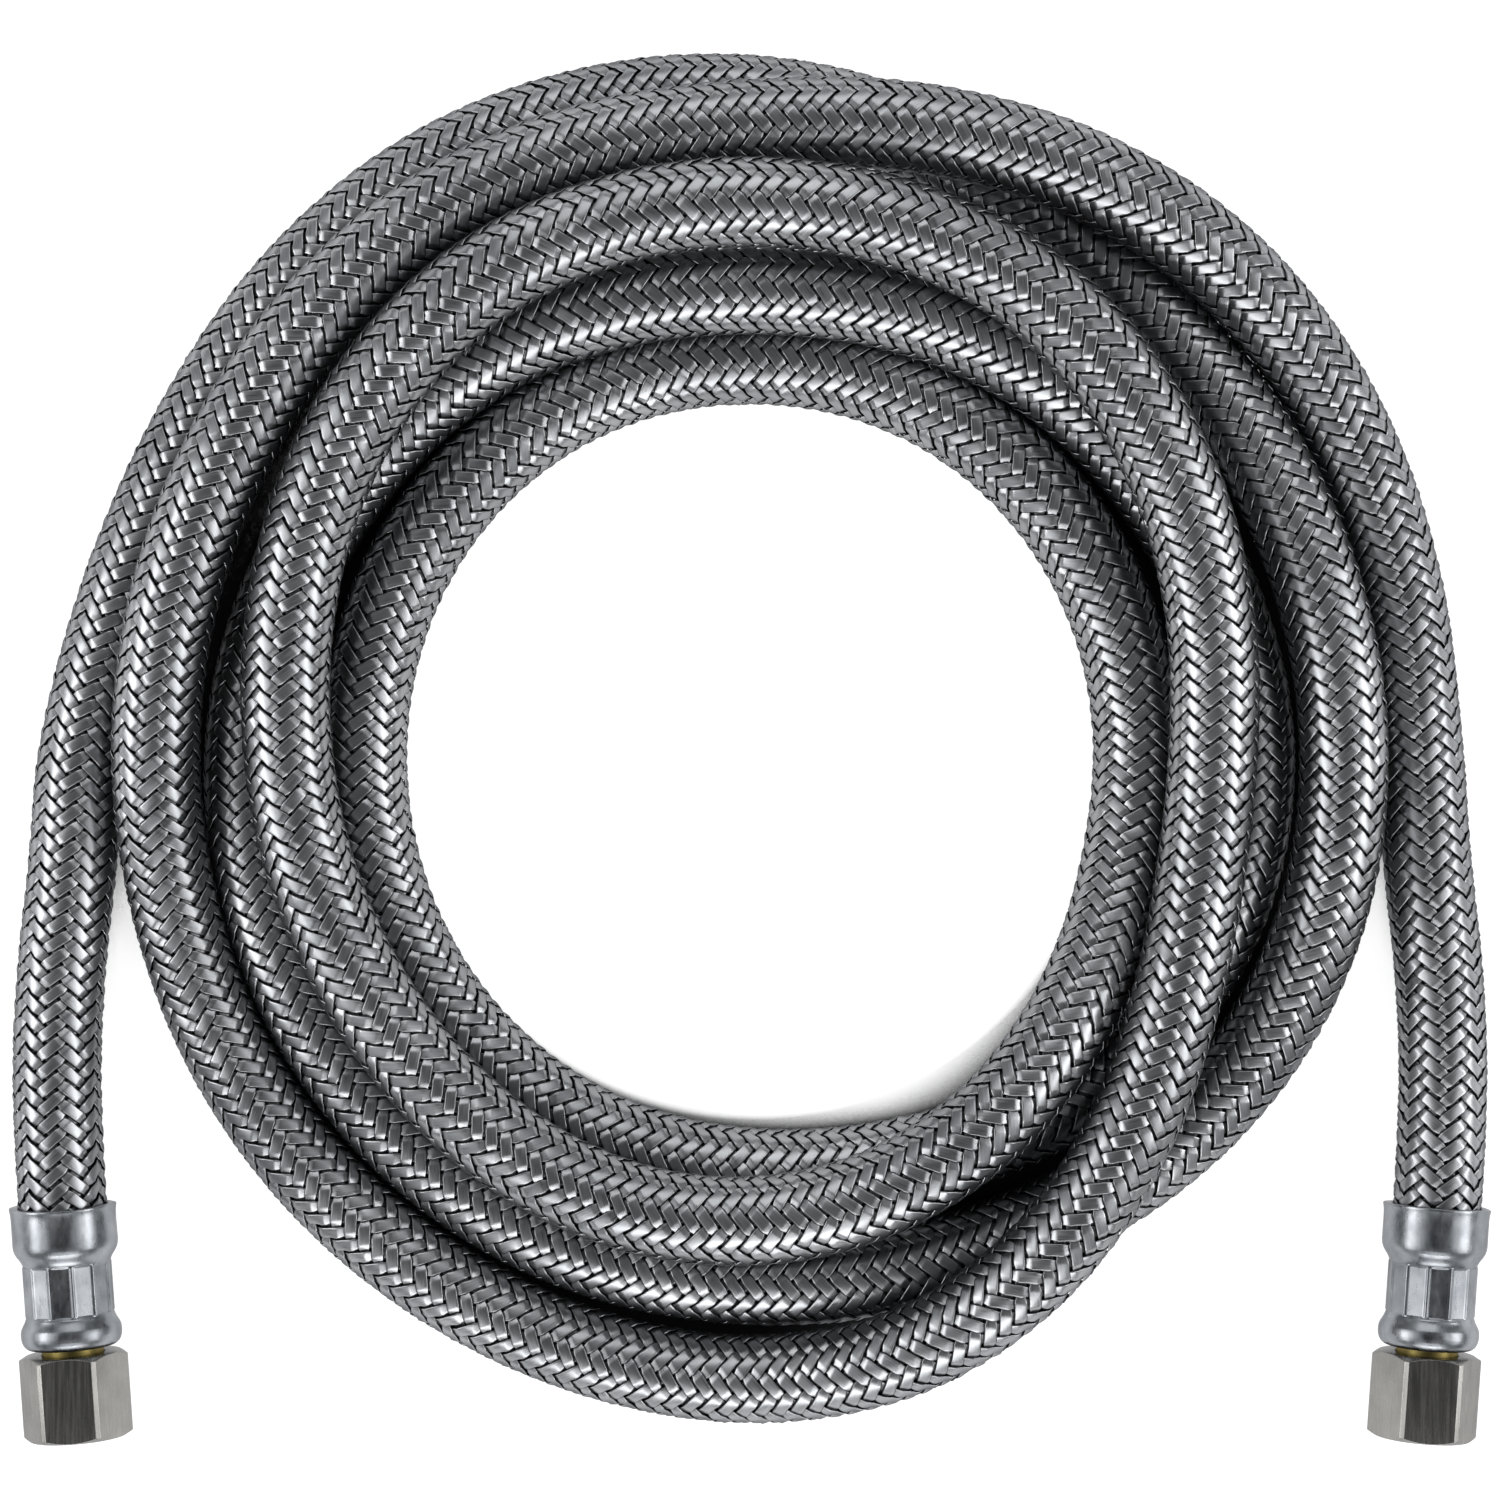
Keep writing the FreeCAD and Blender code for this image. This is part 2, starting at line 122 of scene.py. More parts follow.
# ---- fitting, measured along it from the ferrule's hose end, as in the part's source ----
FERRULE_OUTLINE = [
    (0.0, 6.86), (0.04, 6.95), (0.14, 7.0), (0.35, 6.99), (0.9, 6.90), (1.8, 6.86), (3.2, 6.86),
    (4.6, 6.87), (5.2, 6.84), (5.7, 6.73), (6.1, 6.56), (6.5, 6.31), (6.9, 6.04), (7.2, 5.88),
    (7.5, 5.79), (7.9, 5.76), (11.0, 5.75), (14.1, 5.76), (14.5, 5.81), (14.9, 5.95), (15.3, 6.16),
    (15.7, 6.38), (16.1, 6.52), (16.6, 6.58), (17.1, 6.56), (17.6, 6.46), (18.0, 6.28),
    (18.3, 6.03), (18.5, 5.72), (18.58, 5.4), (18.6, 5.0), (18.6, 4.5), (18.58, 4.2), (18.5, 4.06),
]
FERRULE_BORE = [
    (16.6, 4.06), (16.6, 4.9), (7.4, 4.9), (6.0, 5.85), (3.0, 5.85), (0.35, 5.86), (0.12, 5.92),
    (0.02, 6.08), (0.0, 6.4),
]
DIE_START = 7.55            # the stretch that the crimping jaws pressed flat
DIE_END = 14.35
DIE_SIDES = 12
DIE_APOTHEM = 5.55
DIE_RIDGE = 0.10            # metal that squeezed out between two jaws
DIE_RIDGE_WIDTH = 0.30
DIE_EDGE = 0.22             # over which the pressed flats begin and end
DIE_ROW = 0.10
WAIST_R = 5.75
FERRULE_SIDES = 288
OUTLINE_STEPS = 3           # mesh rows from one point of the outline to the next
LIP_WAVE = 0.14
LIP_LEN = 1.2               # over which the wave of the cut lip fades
COLLAR_DENT = 0.035         # how far out of round the collar is
COLLAR_LEN = 6.0
NUT_BACK = 19.45
NUT_LEN = 11.1
NUT_FLATS = 12.7
NUT_WALL = 2.2
NUT_NECK_R = 4.14
NUT_CHAMBER_R = 5.3
NUT_CHAMBER_END = 6.2
NUT_EDGE_BEVEL = 0.70       # width of the bevel along the hexagon's edges
NUT_FACE_R = 6.25
NUT_CHAMFER_ANGLE = 30.0
NUT_FILLET = 0.10
NUT_NECK_FILLET = 0.18
NUT_NECK_LEN = 0.9          # the part of the neck's bore that is drawn with the outside
NUT_FLAT_POINTS = 15
NUT_BEVEL_STEPS = (0.08, 0.5, 0.92)
THREAD_R = 5.08
THREAD_DEPTH = 0.48
THREAD_PITCH = 25.4 / 24
THREAD_LEAD_IN = 0.55       # length of the cone at the mouth
THREAD_LEAD_R = 0.25        # by which the cone is wider than the thread's grooves
THREAD_RUN_OUT = 0.4
THREAD_START = 0.6          # in from the mouth
THREAD_ROWS = 16            # mesh rows in each turn
GROOVE_MIDDLE = 1.15        # over the full depth of 1, which makes the groove's floor flat
GROOVE_SLOPE = 2.3          # of its sides, in depths to a turn
CHAMBER_BEVEL = 0.2
NECK_BEVEL = 0.1

# ---- picture ----
VIEW_WIDTH = 196.5
VIEW_CENTRE_Y = -0.2
VIEW_PLANE = 9.0
LENS = 100.0
SENSOR = 36.0
NEAREST_SEEN = 0.01         # metres
WORLD_HORIZON = 0.30
WORLD_ZENITH = 0.08
WORLD_FADE = (0.80, 0.99)   # height of a direction where the fade begins and ends, 1 is straight up
WORLD_COLOUR = (0.95, 0.97, 1.0, 1.0)
WIRE_EDGE_TINT = (0.40, 0.40, 0.41, 1.0)      # how much of its glare each metal keeps at a low angle
FITTING_EDGE_TINT = (0.60, 0.60, 0.61, 1.0)
FLOOR = 3.0                 # metres from its middle to its edges
FLOOR_GLOW = 0.88
FLOOR_SHADE_REACH = 15.0    # the floor is painted dark, as painted shade, where the strands box it in this closely
STRANDS_MIDDLE = 63.5       # distance of the coil's strands from its middle
STRANDS_REACH = (14.0, 17.0)  # to either side of them, where the floor's painted shade gives way to open white
LAMPS = {                   # place and size in metres, and power in watts
    "left_box": ((-0.80, -0.05, 0.45), (0.70, 0.30), 3.0),
    "right_box": ((0.80, -0.05, 0.45), (0.70, 0.30), 3.0),
    "left_strip": ((-0.50, 0.0, 0.60), (0.60, 0.10), 0.40),
    "right_strip": ((0.50, 0.0, 0.60), (0.60, 0.10), 0.40),
    "front_strip": ((0.0, -0.50, 0.60), (0.60, 0.10), 0.40),
    "front_box": ((0.0, -0.80, 0.45), (0.80, 0.30), 3.4),
    "back_box": ((0.0, 0.80, 0.55), (0.80, 0.30), 1.3),
    "back_strip": ((0.0, 0.50, 0.60), (0.60, 0.10), 0.45),
}

SEED = 7
random = np.random.default_rng(SEED)


# ---- route ----
def eased(before, start, end, after, angle, item):
    """A smooth value between two places of a pass, from the two beside them as well."""
    width = end[0] - start[0]
    t = (angle - start[0]) / width
    leaving = (end[item] - before[item]) / (end[0] - before[0]) * width
    arriving = (after[item] - start[item]) / (after[0] - start[0]) * width
    return (
        (2 * t ** 3 - 3 * t ** 2 + 1) * start[item]
        + (t ** 3 - 2 * t ** 2 + t) * leaving
        + (3 * t ** 2 - 2 * t ** 3) * end[item]
        + (t ** 3 - t ** 2) * arriving
    )


def strand(angle):
    """Distance from the middle and height of the hose at a clock angle, counted on from pass to pass."""
    places = []
    for number, rows in enumerate(PASSES):
        places += [(360.0 * number + row[0], row[1], row[2]) for row in rows]
    i = max(k for k in range(len(places) - 1) if places[k][0] <= angle)
    around = [places[i - 1], places[i], places[i + 1], places[min(i + 2, len(places) - 1)]]
    return eased(*around, angle, 1), max(eased(*around, angle, 2), HOSE_R)


def coil_route():
    """Control points of the coil's turns, end A to end B."""
    outward = 1 / math.cos(math.radians(CLOCK_STEP / 2))
    points = []
    angle = -ARCH_END
    while angle <= 360.0 * (len(PASSES) - 1) + ARCH_END:
        distance, height = strand(angle)
        clock = math.radians(angle)
        spread = distance * outward
        points.append(Vector((spread * math.sin(clock), spread * math.cos(clock), height)) * MM)
        angle += CLOCK_STEP
    return points


def lean(side):
    """The direction from ferrule to nut at one end: side is -1 for end A and 1 for end B."""
    angle = math.radians(FITTING_LEAN)
    return Vector((-side * math.sin(angle), -math.cos(angle), 0))


def mouth(side):
    """The middle of the ferrule's hose end."""
    return Vector((-side * FITTING_MOUTH[0], FITTING_MOUTH[1], FITTING_HEIGHT)) * MM


def tail_route(side):
    """Control points of a straight tail, from just inside the ferrule to the coil."""
    start = mouth(side) + lean(side) * HOSE_INLET * MM
    along = mouth(side) - lean(side) * (TAIL_RUN - HOSE_INLET) * MM
    rest = [Vector((-side * x, y, z)) * MM for x, y, z in TAIL_POINTS]
    return [start, along] + rest


def read_line(control):
    """Points along the NURBS spline that the hose follows."""
    curve = bpy.data.curves.new("hose_line", "CURVE")
    curve.dimensions = "3D"
    curve.resolution_u = LINE_RESOLUTION
    spline = curve.splines.new("NURBS")
    spline.points.add(len(control) - 1)
    for point, place in zip(spline.points, control):
        point.co = (*place, 1.0)
    spline.order_u = 3
    spline.use_endpoint_u = True
    holder = bpy.data.objects.new("hose_line", curve)
    bpy.context.scene.collection.objects.link(holder)
    bpy.context.view_layer.update()
    mesh = bpy.data.meshes.new_from_object(holder)
    line = np.array([vertex.co for vertex in mesh.vertices], dtype=float)
    bpy.data.meshes.remove(mesh)
    bpy.data.objects.remove(holder)
    bpy.data.curves.remove(curve)
    return line


def unit(vectors):
    return vectors / np.linalg.norm(vectors, axis=-1, keepdims=True)


class Line:
    """The hose's centreline, with a frame that doesn't twist about it."""

    def __init__(self, points, up):
        gaps = np.linalg.norm(np.diff(points, axis=0), axis=1)
        self.points = points
        self.reach = np.concatenate([[0.0], np.cumsum(gaps)])
        self.length = self.reach[-1]
        self.ahead = unit(np.gradient(points, self.reach, axis=0))
        self.normal = np.zeros_like(points)
        first = up - np.dot(up, self.ahead[0]) * self.ahead[0]
        self.normal[0] = unit(first)
        for i in range(len(points) - 1):
            self.normal[i + 1] = self.carried(i)
        self.side = np.cross(self.ahead, self.normal)

    def carried(self, i):
        """The normal at a point carried to the next one without twisting (double reflection)."""
        step = self.points[i + 1] - self.points[i]
        step_square = np.dot(step, step)
        normal = self.normal[i] - 2 / step_square * np.dot(step, self.normal[i]) * step
        ahead = self.ahead[i] - 2 / step_square * np.dot(step, self.ahead[i]) * step
        turn = self.ahead[i + 1] - ahead
        turn_square = np.dot(turn, turn)
        if turn_square < NO_TURN:
            return unit(normal)
        return unit(normal - 2 / turn_square * np.dot(turn, normal) * turn)

    def at(self, reach):
        """Centre, normal and side direction at distances along the line, straight on past its ends."""
        held = np.clip(reach, 0.0, self.length)
        over = (reach - held)[..., None]

        def read(values):
            return np.stack([np.interp(held, self.reach, values[:, k]) for k in range(3)], -1)

        return read(self.points) + read(self.ahead) * over, unit(read(self.normal)), unit(read(self.side))


# ---- mesh helpers ----
def grid_quads(index, wrap_rows, wrap_columns):
    """The four corners of each face of a grid of vertex numbers, rows by columns."""
    a = index if wrap_rows else index[:-1]
    b = np.roll(index, -1, 0) if wrap_rows else index[1:]
    if wrap_columns:
        return np.stack([a, np.roll(a, -1, 1), np.roll(b, -1, 1), b], -1).reshape(-1, 4)
    return np.stack([a[:, :-1], a[:, 1:], b[:, 1:], b[:, :-1]], -1).reshape(-1, 4)


def grid_mesh(name, places, wrap_rows=False, wrap_columns=True, caps=False, mirrored=False):
    """A mesh from one grid of places, or a list of them, whose rows or columns may close on themselves.

    The faces of a mirrored grid are wound the other way, which keeps them facing outwards.
    """
    grids = places if isinstance(places, list) else [places]
    quads = []
    ends = []
    used = 0
    for grid in grids:
        rows, columns = grid.shape[:2]
        index = used + np.arange(rows * columns).reshape(rows, columns)
        used += rows * columns
        quads.append(grid_quads(index, wrap_rows, wrap_columns))
        ends += [index[0][::-1], index[-1]] if caps else []
    quads = np.concatenate(quads)
    if mirrored:
        quads = quads[:, [0, 3, 2, 1]]
        ends = [end[::-1] for end in ends]
    mesh = bpy.data.meshes.new(name)
    faces = len(quads)
    loops = faces * 4
    extra = sum(len(end) for end in ends)
    mesh.vertices.add(used)
    spots = np.concatenate([grid.reshape(-1, 3) for grid in grids])
    mesh.vertices.foreach_set("co", spots.astype(np.float32).ravel())
    mesh.loops.add(loops + extra)
    corner = np.concatenate([quads.ravel()] + list(ends)) if ends else quads.ravel()
    mesh.loops.foreach_set("vertex_index", corner.astype(np.int32))
    mesh.polygons.add(faces + len(ends))
    starts = list(range(0, loops, 4))
    begin = loops
    for end in ends:
        starts.append(begin)
        begin += len(end)
    mesh.polygons.foreach_set("loop_start", np.array(starts, dtype=np.int32))
    mesh.update(calc_edges=True)
    mesh.validate()
    mesh.shade_smooth()
    return mesh


def piece(name, mesh, material, body):
    """A finished piece that rides on a body."""
    thing = bpy.data.objects.new(name, mesh)
    bpy.context.scene.collection.objects.link(thing)
    mesh.materials.append(material)
    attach(thing, body)
    return thing


def point_data(mesh, name, values):
    """Stores three numbers at each vertex, for the materials."""
    layer = mesh.attributes.new(name, "FLOAT_VECTOR", "POINT")
    layer.data.foreach_set("vector", values.astype(np.float32).ravel())


# ---- materials ----
class Shader:
    """A node material under construction."""

    def __init__(self, name):
        self.material = bpy.data.materials.new(name)
        self.material.use_nodes = True
        self.nodes = self.material.node_tree.nodes
        self.links = self.material.node_tree.links
        self.surface = self.nodes["Principled BSDF"]

    def node(self, kind, values=(), **settings):
        made = self.nodes.new("ShaderNode" + kind)
        for key, value in settings.items():
            setattr(made, key, value)
        for socket, value in dict(values).items():
            made.inputs[socket].default_value = value
        return made

    def join(self, source, target):
        self.links.new(source, target)

    def place(self, scale=(1, 1, 1), attribute=None):
        """The object's own coordinates in metres, or a stored attribute, times a scale."""
        if attribute:
            source = self.node("Attribute", attribute_name=attribute).outputs["Vector"]
        else:
            source = self.node("TexCoord").outputs["Object"]
        mapping = self.node("Mapping", {"Scale": scale})
        self.join(source, mapping.inputs["Vector"])
        return mapping.outputs["Vector"]

    def noise(self, where, scale, detail=3.0, rough=0.5):
        texture = self.node("TexNoise", {"Scale": scale, "Detail": detail, "Roughness": rough})
        self.join(where, texture.inputs["Vector"])
        return texture.outputs["Fac"]

    def span(self, source, low, high, start=0.3, end=0.7):
        """Maps a source that runs from start to end onto the range from low to high."""
        mapped = self.node("MapRange", {"From Min": start, "From Max": end, "To Min": low, "To Max": high})
        self.join(source, mapped.inputs["Value"])
        return mapped.outputs["Result"]

    def mixed(self, factor, dark, light):
        """Two colours mixed by a factor."""
        mix = self.node("Mix", data_type="RGBA")
        mix.inputs["A"].default_value = (*dark, 1.0)
        mix.inputs["B"].default_value = (*light, 1.0)
        self.join(factor, mix.inputs["Factor"])
        return mix.outputs["Result"]

    def multiplied(self, colour, factor):
        """A colour darkened by a value."""
        mix = self.node("Mix", {"Factor": 1.0}, data_type="RGBA", blend_type="MULTIPLY")
        self.join(colour, mix.inputs["A"])
        self.join(factor, mix.inputs["B"])
        return mix.outputs["Result"]

    def bump(self, height, strength, distance):
        bump = self.node("Bump", {"Strength": strength, "Distance": distance})
        self.join(height, bump.inputs["Height"])
        return bump.outputs["Normal"]

    def finish(self, colour, roughness, normal=None, **constants):
        self.join(colour, self.surface.inputs["Base Color"])
        self.join(roughness, self.surface.inputs["Roughness"])
        if normal is not None:
            self.join(normal, self.surface.inputs["Normal"])
        for name, value in constants.items():
            self.surface.inputs[name.replace("_", " ")].default_value = value
        return self.material


def braid_material():
    """Stainless wire, with painted shade where ribbons pass under and on the hose's flanks."""
    s = Shader("braid_wire")
    patches = s.noise(s.place(), 60.0, 4.0)
    streaks = s.noise(s.place((9.0, 0.35, 1.0), "wire"), 1.0, 4.0, 0.6)
    colour = s.mixed(s.span(patches, 0, 1), (0.33, 0.338, 0.35), (0.435, 0.443, 0.455))
    parts = s.node("SeparateXYZ")
    s.join(s.node("Attribute", attribute_name="weave").outputs["Vector"], parts.inputs["Vector"])
    # painted shade: darker where a ribbon dives under the other family, down to half at the deepest
    under_shade = s.span(parts.outputs["X"], 0.50, 1.0, -1.0, 0.1)
    colour = s.multiplied(colour, under_shade)
    # painted shade: darker where the surface turns from facing up to facing sideways or down, to 0.6 at the
    # flanks
    facing = s.node("SeparateXYZ")
    s.join(s.node("NewGeometry").outputs["Normal"], facing.inputs["Vector"])
    flank_shade = s.span(facing.outputs["Z"], 0.60, 1.0, 0.0, 0.7)
    colour = s.multiplied(colour, flank_shade)
    colour = s.multiplied(colour, s.span(streaks, 0.82, 1.08))
    roughness = s.span(streaks, 0.27, 0.39)
    fine = s.noise(s.place((14.0, 0.5, 1.0), "wire"), 1.0, 3.0, 0.7)
    bump = s.bump(fine, 0.15, 0.015 * MM)
    return s.finish(colour, roughness, bump, Metallic=1.0, Specular_Tint=WIRE_EDGE_TINT)


def rubber_material(name, dark, light, scale):
    s = Shader(name)
    grain = s.noise(s.place(), scale, 5.0)
    colour = s.mixed(s.span(grain, 0, 1), dark, light)
    roughness = s.span(grain, 0.55, 0.75)
    fine = s.noise(s.place(), scale * 6, 3.0)
    return s.finish(colour, roughness, s.bump(fine, 0.3, 0.03 * MM))


def metal_material(name, dark, light, rough, patch_scale, streak, bump):
    """Plated or machined metal, with patches of tone and streaks along the fitting."""
    s = Shader(name)
    patches = s.noise(s.place(), patch_scale, 4.0)
    streaks = s.noise(s.place(streak), 1.0, 5.0, 0.65)
    colour = s.mixed(s.span(patches, 0, 1), dark, light)
    colour = s.multiplied(colour, s.span(streaks, 0.86, 1.06))
    roughness = s.span(streaks, rough[0], rough[1])
    relief = s.bump(streaks, bump[0], bump[1] * MM)
    return s.finish(colour, roughness, relief, Metallic=1.0, Specular_Tint=FITTING_EDGE_TINT)


braid = braid_material()
liner = rubber_material("liner_rubber", (0.010, 0.010, 0.011), (0.022, 0.022, 0.024), 400.0)
seal = rubber_material("seal_rubber", (0.018, 0.018, 0.018), (0.035, 0.034, 0.034), 900.0)
nylon = rubber_material("washer_nylon", (0.70, 0.69, 0.64), (0.82, 0.81, 0.78), 500.0)
steel = metal_material(
    "ferrule_steel", (0.21, 0.222, 0.238), (0.36, 0.373, 0.39), (0.22, 0.40), 260.0,
    (900, 350, 900), (0.35, 0.04),
)
nickel = metal_material(
    "nut_nickel", (0.25, 0.244, 0.23), (0.32, 0.312, 0.296), (0.20, 0.33), 200.0,
    (2600, 90, 2600), (0.3, 0.02),
)
brass = metal_material(
    "insert_brass", (0.21, 0.165, 0.052), (0.31, 0.25, 0.09), (0.34, 0.50), 300.0,
    (500, 3000, 500), (0.3, 0.02),
)

# ---- camera ----
lens = bpy.data.cameras.new("camera")
lens.lens = LENS
lens.sensor_width = SENSOR
lens.clip_start = NEAREST_SEEN
camera = bpy.data.objects.new("camera", lens)
distance = VIEW_WIDTH * LENS / SENSOR
camera.location = (0, VIEW_CENTRE_Y * MM, (VIEW_PLANE + distance) * MM)
bpy.context.scene.collection.objects.link(camera)
bpy.context.scene.camera = camera

# ---- hose ----
control = tail_route(-1) + coil_route() + tail_route(1)[::-1]
line = Line(read_line(control), np.array([0.0, 0.0, 1.0]))


def liner_tube():
    """The rubber tube under the braid, with its bore."""
    stations = np.linspace(0.0, line.length, LINER_RINGS)
    centre, normal, side = line.at(stations)
    angles = np.linspace(0, 2 * np.pi, LINER_SIDES, endpoint=False)

    def ring(radius):
        around = angles[None, :, None]
        return (
            centre[:, None, :]
            + radius * MM * (np.cos(around) * normal[:, None, :] + np.sin(around) * side[:, None, :])
        )

    outside = ring(LINER_R)
    inside = ring(LINER_BORE_R)[::-1]
    mesh = grid_mesh("hose_liner", np.concatenate([outside, inside]), wrap_rows=True)
    return mesh, centre


def weave(x):
    """How far a ribbon stands out (1) or in (-1), by the place among the ribbons it crosses."""
    wave = np.cos(np.pi / 2 * (x - ZONE_CENTRE))
    flat = wave * np.sqrt((1 + WEAVE_SHARPNESS) / (wave ** 2 + WEAVE_SHARPNESS))
    return flat * (1 + WEAVE_HUMPS * np.cos(2 * np.pi * x))


def wander(reach, lengths, size):
    """A slow seeded drift along the hose."""
    drift = np.zeros_like(reach)
    for length in lengths:
        drift += np.sin(2 * np.pi * reach / (length * MM) + random.uniform(0, 2 * np.pi))
    return drift * size / len(lengths)


def ribbon_profile():
    """(across, height) round a ribbon's section of unit width: ridged wires above, plain below."""
    across = np.linspace(-0.5, 0.5, 2 * WIRES + 1)
    height = RIBBON_HALF_THICK - WIRE_RIDGE / 2 + RIBBON_CROWN * (1 - 4 * across ** 2)
    height[1::2] += WIRE_RIDGE
    height[0] = height[-1] = 0.0
    return np.append(across, 0.0), np.append(height, -RIBBON_HALF_THICK)


def ribbon_rows(number, hand, rate, gap):
    """Places along a ribbon where its mesh has a row, counted in the ribbons that it crosses."""
    ends = [
        2 * number + 2 * hand * rate * reach / gap
        for reach in (-RIBBON_REACH * MM, line.length + RIBBON_REACH * MM)
    ]
    first, last = sorted(ends)
    blocks = np.arange(math.floor(first / 4) - 1, math.ceil(last / 4) + 1) * 4
    rows = (blocks[:, None] + np.array(WEAVE_ROWS) + (1 - hand)).ravel()
    return rows[(rows >= first) & (rows <= last)]


def ribbon(number, hand):
    """One ribbon of wires, the whole length of the hose. hand is 1 or -1 for the way it winds.

    Gives its places and the two sets of numbers that its material reads.
    """
    rate = 2 * np.pi / (BRAID_PITCH * MM)
    gap = 2 * np.pi / RIBBONS
    slant = math.atan(rate * WEAVE_R * MM)
    rows = ribbon_rows(number, hand, rate, gap)
    reach = hand * (rows - 2 * number) * gap / (2 * rate)
    across, height = ribbon_profile()
    from_end = np.minimum(reach, line.length - reach) / (TAIL_LEN * MM)
    ease = np.clip(from_end, 0, 1) ** 2 * (3 - 2 * np.clip(from_end, 0, 1))
    width = TAIL_RIBBON_WIDTH + (RIBBON_WIDTH - TAIL_RIBBON_WIDTH) * ease
    width = width + wander(reach, *WIDTH_WANDER)
    width = width * (1 - RIBBON_PINCH * np.clip(1 - np.abs(weave(rows)), 0, 1) ** 2)
    drift = wander(reach, *DRIFT_WANDER)
    rise = wander(reach, *RISE_WANDER)
    turns = np.arange(math.floor(rows[0] / 2), math.ceil(rows[-1] / 2) + 1) * 2
    roll = np.interp(rows, turns, random.normal(0.0, RIBBON_ROLL, len(turns)))
    offset = across[None, :] * width[:, None] * MM + drift[:, None]
    spread = math.cos(slant) / (WEAVE_R * MM) + rate * math.sin(slant)
    own = number * gap + spread * offset
    other = ((rows - number) * gap)[:, None]
    angle = (own + other) / 2
    along = hand * (other - own) / (2 * rate)
    none = np.zeros_like(offset)
    lift = hand * weave(rows)[:, None] + none
    radius = (WEAVE_R + WEAVE_LIFT * lift + height[None, :] + rise[:, None]) * MM
    radius = radius + roll[:, None] * offset
    centre, normal, side = line.at(along)
    facing = (angle - ZONE_CENTRE * gap / 2)[..., None]
    places = centre + radius[..., None] * (np.cos(facing) * normal + np.sin(facing) * side)
    length = (reach / math.cos(slant) / MM)[:, None] + none
    wire = np.stack([offset / MM, length, none + STREAK_SHIFT * number + hand], -1)
    return places, wire, np.stack([lift, none, none], -1)


def ribbon_piece(place, numbers, hand):
    """A piece that holds a few neighbouring ribbons of one family."""
    grids, wires, lifts = zip(*[ribbon(number, hand) for number in numbers])
    name = "braid_%02d" % place
    mesh = grid_mesh(name, list(grids), caps=True, mirrored=hand < 0)
    point_data(mesh, "wire", np.concatenate([values.reshape(-1, 3) for values in wires]))
    point_data(mesh, "weave", np.concatenate([values.reshape(-1, 3) for values in lifts]))
    return piece(name, mesh, braid, "line")


tube_mesh, ring_centres = liner_tube()
tube = piece("hose_liner", tube_mesh, liner, "line")
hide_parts("hose_coil", "liner_tail_a", "liner_tail_b")
ribbons = []
for hand in (1, -1):
    for first in range(0, RIBBONS, RIBBONS_IN_PIECE):
        numbers = range(first, first + RIBBONS_IN_PIECE)
        ribbons.append(ribbon_piece(len(ribbons) + 1, numbers, hand))
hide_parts("braid_tail_a", "braid_tail_b")


# ---- fittings ----
def placed(side, along, across, up):
    """Places in the model from places along, across and above one fitting's axis, in millimetres."""
    ahead = np.array(lean(side))
    left = np.array([-ahead[1], ahead[0], 0.0])
    above = np.array([0.0, 0.0, 1.0])
    spots = along[..., None] * ahead + across[..., None] * left + up[..., None] * above
    return np.array(mouth(side)) + spots * MM


def smooth_steps(outline):
    """More points along an outline, on a curve through its own."""
    points = np.array(outline, dtype=float)
    before = np.vstack([2 * points[0] - points[1], points[:-1]])
    after = np.vstack([points[1:], 2 * points[-1] - points[-2]])
    slope = (after - before) / 2
    reach = np.linalg.norm(np.diff(points, axis=0), axis=1)
    result = [points[0]]
    for i in range(len(points) - 1):
        for t in np.linspace(0, 1, OUTLINE_STEPS + 1)[1:]:
            near = points[i] + slope[i] * min(1.0, reach[i] / np.linalg.norm(slope[i])) * t
            far = points[i + 1] - slope[i + 1] * min(1.0, reach[i] / np.linalg.norm(slope[i + 1])) * (1 - t)
            result.append(near * (1 - t) + far * t)
    return np.array(result)


def ferrule(end, side):
    """The crimped ferrule: flared collar, round shoulder, waist pressed by twelve jaws, end bead."""
    rows = np.arange(DIE_START - DIE_ROW, DIE_END + 1.5 * DIE_ROW, DIE_ROW)
    waist = [(row, WAIST_R) for row in rows]
    before = [point for point in FERRULE_OUTLINE if point[0] < waist[0][0]]
    after = [point for point in FERRULE_OUTLINE if point[0] > waist[-1][0]]
    outline = np.vstack([smooth_steps(before), waist, smooth_steps(after)])
    profile = np.vstack([outline, FERRULE_BORE])
    angles = np.linspace(0, 2 * np.pi, FERRULE_SIDES, endpoint=False)
    along = np.repeat(profile[:, :1], len(angles), 1)
    radius = np.repeat(profile[:, 1:], len(angles), 1)
    jaw = np.pi / DIE_SIDES
    from_flat = (angles + jaw) % (2 * jaw) - jaw
    flat = DIE_APOTHEM / np.cos(from_flat)
    to_corner = (jaw - np.abs(from_flat)) * DIE_APOTHEM
    ridge = DIE_RIDGE * np.clip(1 - (to_corner / DIE_RIDGE_WIDTH) ** 2, 0, None)
    pressed = flat + ridge
    inside = np.clip((along - DIE_START) / DIE_EDGE, 0, 1) * np.clip((DIE_END - along) / DIE_EDGE, 0, 1)
    inside = inside * inside * (3 - 2 * inside)
    outer = np.arange(len(profile))[:, None] < len(outline)
    radius = np.where(outer, radius + (pressed[None, :] - radius) * inside, radius)
    wave = np.zeros_like(angles)
    for turns in (1, 2, 3, 5):
        wave += np.sin(turns * angles + random.uniform(0, 2 * np.pi)) / turns
    near_lip = np.clip(1 - along / LIP_LEN, 0, 1)
    along = along + LIP_WAVE * wave * near_lip
    dent = COLLAR_DENT * wave[::-1] * np.clip(1 - along / COLLAR_LEN, 0, 1)
    radius = radius + np.where(outer, dent, 0)
    places = placed(side, along, radius * np.sin(angles), radius * np.cos(angles))
    mesh = grid_mesh("steel_ferrule_" + end, places[:, ::-1], wrap_rows=True)
    thing = piece("steel_ferrule_" + end, mesh, steel, "line")
    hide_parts("ferrule_" + end)
    return thing


